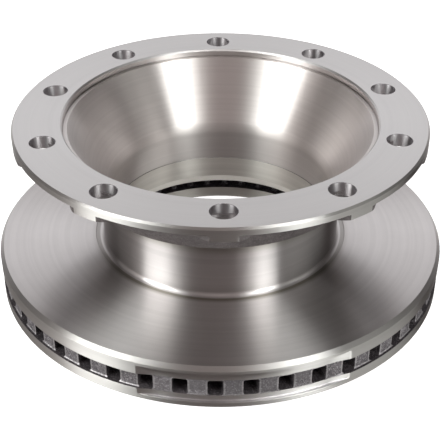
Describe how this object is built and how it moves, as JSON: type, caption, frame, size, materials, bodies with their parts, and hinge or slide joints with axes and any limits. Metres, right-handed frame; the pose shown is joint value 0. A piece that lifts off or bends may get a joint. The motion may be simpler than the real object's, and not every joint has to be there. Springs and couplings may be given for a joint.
{
  "type": "brake disc",
  "caption": "Ventilated brake disc for a heavy axle: a thick friction ring with leaning vanes, a turned neck and a bowl that opens to a wide flange with bolt holes.",
  "frame": {"origin": "centre of the inboard friction face, on the axle's line, at the lowest point of the disc", "axes": "+Z along the axle from the inboard friction face to the bolting flange; +Y through the centre of one bolt hole; +X completes a right-handed frame"},
  "size_m": [0.434, 0.434, 0.1685],
  "materials": {
    "cast_iron": "turned bright on the friction faces, neck, bowl and flange; rough as cast between the plates and under the flange"
  },
  "bodies": {
    "root": {"brake_disc": "cast_iron"}
  },
  "joints": []
}
